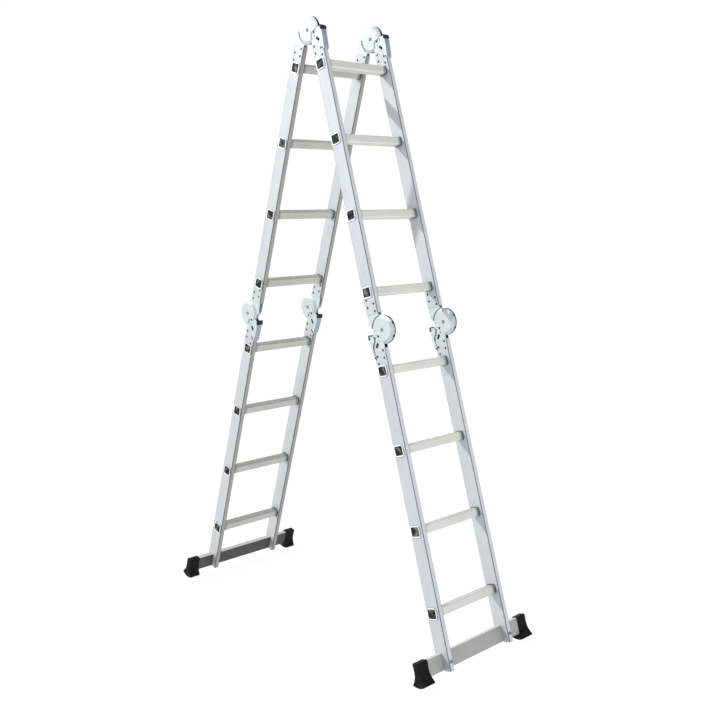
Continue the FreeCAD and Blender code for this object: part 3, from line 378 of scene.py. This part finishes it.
def dress_cad_nodes():
    for name, obj in nodes.items():
        dress(obj, MATERIALS[finish_of(name)])


# ---------------------------------------------------------------- boots

def arc(centre, radius, start, end, steps):
    """Points (t, s) on an arc whose centre lies on the s axis; angles are from s towards t."""
    return [(radius * math.sin(a), centre + radius * math.cos(a))
            for a in (start + (end - start) * i / steps for i in range(steps + 1))]


def boot_outline(shrink):
    """The boot's section as (t, s) from the bar's middle and upper face, drawn in by shrink."""
    edge = math.asin(SOLE_HALF / SOLE_RADIUS)
    centre = BOOT_TIP - SOLE_RADIUS * math.cos(edge)
    pitch = 2 * edge / SOLE_RIBS
    sole = []
    for i in range(SOLE_RIBS):
        low, high = edge - (i + 0.22) * pitch, edge - (i + 0.78) * pitch
        sole += arc(centre, SOLE_RADIUS - shrink, low, high, 3)
        if i < SOLE_RIBS - 1:
            groove = SOLE_RADIUS - SOLE_RIB_DEPTH - shrink
            sole += arc(centre, groove, high - 0.06 * pitch, high - 0.38 * pitch, 1)
    # The flat stands square on the floor when the leg leans; the sole's points over it are brought up.
    down = (math.sin(-LEAN), math.cos(LEAN))
    reach = (SOLE_RADIUS - SOLE_FLAT) + centre * down[1]
    limited = []
    for t, s in sole:
        over = max(0.0, t * down[0] + s * down[1] - reach)
        limited.append((t - over * down[0], s - over * down[1]))
    half, top = BOOT_HALF - shrink, -BOOT_ABOVE + shrink
    (band_top, sunk_top), (sunk_end, band_end) = BOOT_BAND
    band = [(half, band_top), (half - BOOT_BAND_DEPTH, sunk_top), (half - BOOT_BAND_DEPTH, sunk_end),
            (half, band_end)]
    flare = [(half + out, s) for s, out in BOOT_FLARE]
    right = [(half - BOOT_TOP_BEVEL, top), (half, top + BOOT_TOP_BEVEL)] + band + flare
    left = [(-t, s) for t, s in reversed(right)]
    return right + limited + left


def boots(leg):
    """Both rubber boots of one leg: ribbed soles, a sunk band on each side, and rounded ends."""
    to_frame = leg_matrix(leg) @ Matrix.Translation((0, BAR_MIDDLE[leg], BAR_TOP[leg]))
    inner, outer = BOOT_X
    layers = [(inner, 0.0012), (inner + 0.0012, 0.0), (outer - 0.0025, 0.0), (outer - 0.0008, 0.0010),
              (outer, 0.0030)]             # x, and how far the section is drawn in there
    points, faces = [], []
    for sign in (-1, 1):
        first = len(points)
        for x, shrink in layers:
            points += [to_frame @ Vector((sign * x, t, s)) for t, s in boot_outline(shrink)]
        count = (len(points) - first) // len(layers)
        rings = [[first + layer * count + i for i in range(count)] for layer in range(len(layers))]
        for ring, after in zip(rings, rings[1:]):
            for i in range(count):
                following = (i + 1) % count
                faces.append((ring[i], ring[following], after[following], after[i]))
        faces += [tuple(reversed(rings[0])), tuple(rings[-1])]
    mesh = bpy.data.meshes.new(leg + "_rubber_boots")
    mesh.from_pydata(points, [], faces)
    shape = bmesh.new()
    shape.from_mesh(mesh)
    bmesh.ops.recalc_face_normals(shape, faces=shape.faces)
    shape.to_mesh(mesh)
    shape.free()
    obj = bpy.data.objects.new(mesh.name, mesh)
    scene.collection.objects.link(obj)
    dress(obj, MATERIALS["boot"])
    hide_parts(leg + "_boots")
    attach(obj, "lower_" + leg)


# ---------------------------------------------------------------- stage, light and camera

FLOOR_SIZE = 60.0
BACKDROP_DIRECTION = (0.66, 0.75, 0.0)     # from the ladder, away from the camera
BACKDROP_WHITE, BACKDROP_DIM = 1.03, 0.12
CAMERA_FROM_TOP_AXIS = Vector((-2.5743, -2.6961, -0.6265))


def stage():
    """A near-white floor that gives off light of its own, so it takes almost no shadow."""
    bpy.ops.mesh.primitive_plane_add(size=FLOOR_SIZE, location=(0, 0, 0))
    floor = bpy.context.object
    floor.name = "floor"
    tree = Tree("floor")
    floor.data.materials.append(tree.finish(
        Base_Color=grey(0.10), Roughness=1.0, Specular_IOR_Level=0.0,
        Emission_Color=(1, 1, 1), Emission_Strength=0.94))


def world():
    """A white backdrop beyond the ladder and a white band round the horizon; dimmer elsewhere."""
    scene.world = bpy.data.worlds.new("studio")
    scene.world.use_nodes = True
    tree = scene.world.node_tree
    tree.nodes.clear()
    where = tree.nodes.new("ShaderNodeTexCoord")
    beyond = tree.nodes.new("ShaderNodeVectorMath")
    beyond.operation = "DOT_PRODUCT"
    beyond.inputs[1].default_value = BACKDROP_DIRECTION
    height = tree.nodes.new("ShaderNodeSeparateXYZ")
    brighter = tree.nodes.new("ShaderNodeMath")
    brighter.operation = "MAXIMUM"
    tree.links.new(where.outputs["Generated"], beyond.inputs[0])
    tree.links.new(where.outputs["Generated"], height.inputs["Vector"])
    for socket, source, low, high, at_low, at_high in (
            (0, beyond.outputs["Value"], -0.2, 0.70, BACKDROP_DIM, BACKDROP_WHITE),
            (1, height.outputs["Z"], 0.26, 0.40, BACKDROP_WHITE, BACKDROP_DIM)):
        ramp = tree.nodes.new("ShaderNodeMapRange")
        ramp.interpolation_type = "SMOOTHSTEP"
        for name, value in (("From Min", low), ("From Max", high), ("To Min", at_low), ("To Max", at_high)):
            ramp.inputs[name].default_value = value
        tree.links.new(source, ramp.inputs["Value"])
        tree.links.new(ramp.outputs["Result"], brighter.inputs[socket])
    background = tree.nodes.new("ShaderNodeBackground")
    background.inputs["Color"].default_value = (1, 1, 1, 1)
    output = tree.nodes.new("ShaderNodeOutputWorld")
    tree.links.new(brighter.outputs["Value"], background.inputs["Strength"])
    tree.links.new(background.outputs["Background"], output.inputs["Surface"])


def lamp(name, kind, energy, colour, place, aim, **settings):
    data = bpy.data.lights.new(name, kind)
    data.energy = energy
    data.color = colour
    for key, value in settings.items():
        setattr(data, key, value)
    obj = bpy.data.objects.new(name, data)
    obj.location = place
    obj.rotation_mode = "QUATERNION"
    obj.rotation_quaternion = (Vector(aim) - Vector(place)).to_track_quat("-Z", "Y")
    scene.collection.objects.link(obj)


def lights():
    """A hard key from the upper left, a soft box beside the top, and a broad fill in front."""
    lamp("key", "SUN", 3.5, (1.0, 0.985, 0.96), (-1.2, 1.39, 1.21), (0, 0, 0), angle=math.radians(1.5))
    lamp("soft_box", "AREA", 13.0, (0.95, 0.98, 1.0), (-1.5, 0.0, 2.9), (0, 0, 1.9), size=0.8)
    lamp("front_fill", "AREA", 40.0, (1.0, 0.99, 0.97), (-0.3, -3.4, 1.9), (0, -0.3, 1.6), size=1.5)


def camera():
    """A normal lens at the front left, 0.6 m below the top hinge, looking slightly down."""
    data = bpy.data.cameras.new("camera")
    data.sensor_width = 36.0
    data.lens = 48.58
    data.shift_x = 0.072
    data.shift_y = -0.0519
    data.clip_end = 200.0
    yaw, pitch, roll = (math.radians(v) for v in (-41.595, -6.919, -0.499))
    forward = Vector((-math.sin(yaw) * math.cos(pitch), math.cos(yaw) * math.cos(pitch), math.sin(pitch)))
    level = Vector((math.cos(yaw), math.sin(yaw), 0))
    upright = level.cross(forward)
    right = math.cos(roll) * level + math.sin(roll) * upright
    up = math.cos(roll) * upright - math.sin(roll) * level
    turn = Matrix((right, up, -forward)).transposed().to_4x4()
    obj = bpy.data.objects.new("camera", data)
    obj.matrix_world = Matrix.Translation(TOP_AXIS + CAMERA_FROM_TOP_AXIS) @ turn
    scene.collection.objects.link(obj)
    scene.camera = obj


dress_cad_nodes()
for boot_leg in ("front", "back"):
    boots(boot_leg)
stage()
world()
lights()
camera()
scene.view_settings.view_transform = "Standard"
